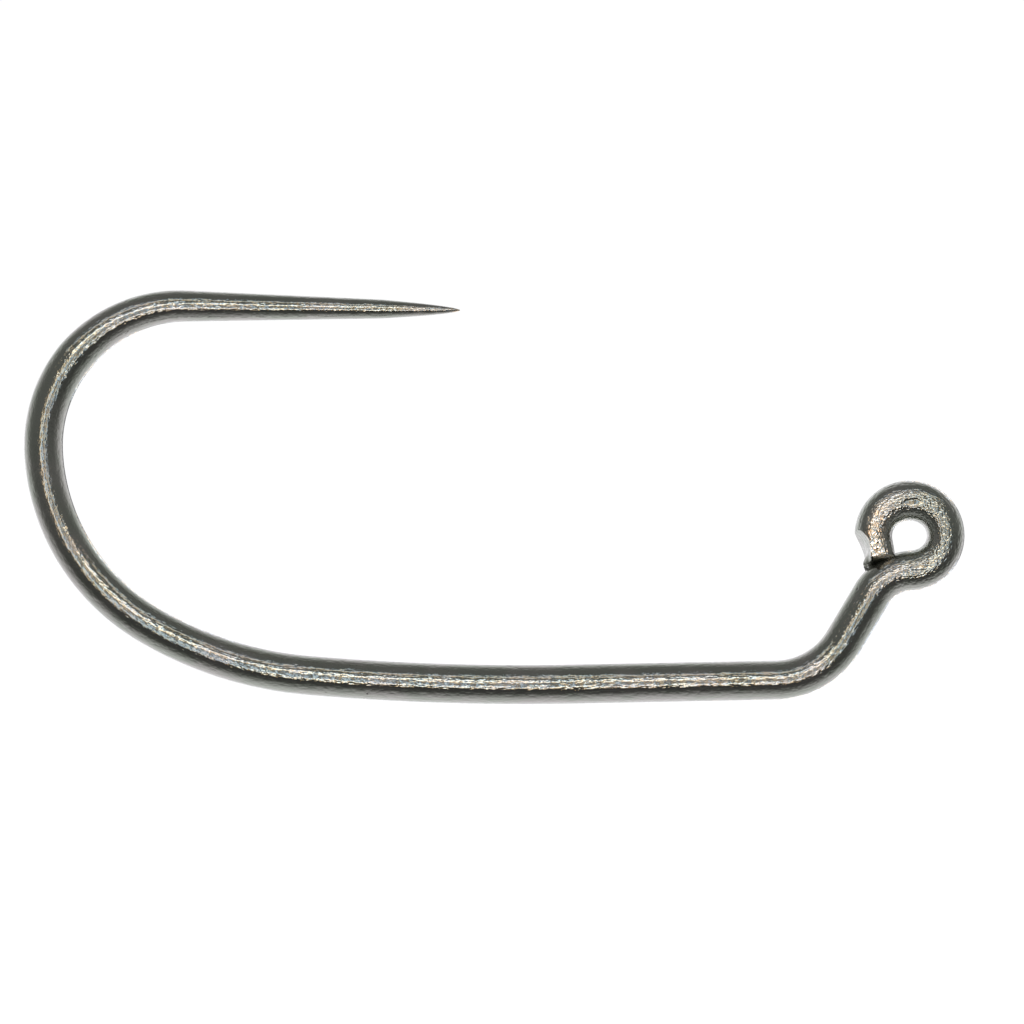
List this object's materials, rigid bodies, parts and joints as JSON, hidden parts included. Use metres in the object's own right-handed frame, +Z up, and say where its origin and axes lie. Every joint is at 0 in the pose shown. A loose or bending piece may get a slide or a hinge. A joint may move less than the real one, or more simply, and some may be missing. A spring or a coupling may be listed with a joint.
{
  "type": "jig hook",
  "caption": "Barbless jig hook bent from one round wire: a straight needle point, a wide round bend, a straight shank, and a round eye tipped up on a short slanted leg.",
  "frame": {"origin": "centre of the eye's hole, in the hook's plane", "axes": "+X along the shank towards the eye, +Z up from the shank towards the point, +Y square to the hook's plane, along the axis of the eye"},
  "size_m": [0.0155, 0.0006, 0.007],
  "materials": {
    "black_nickel": "black nickel over drawn spring-steel wire"
  },
  "bodies": {
    "root": {"eye_loop": "black_nickel", "eye_end": "black_nickel", "neck": "black_nickel", "leg": "black_nickel", "elbow": "black_nickel", "shank": "black_nickel", "back": "black_nickel", "heel": "black_nickel", "bend": "black_nickel", "front_bend": "black_nickel", "throat": "black_nickel", "spear": "black_nickel", "point": "black_nickel"}
  },
  "joints": []
}
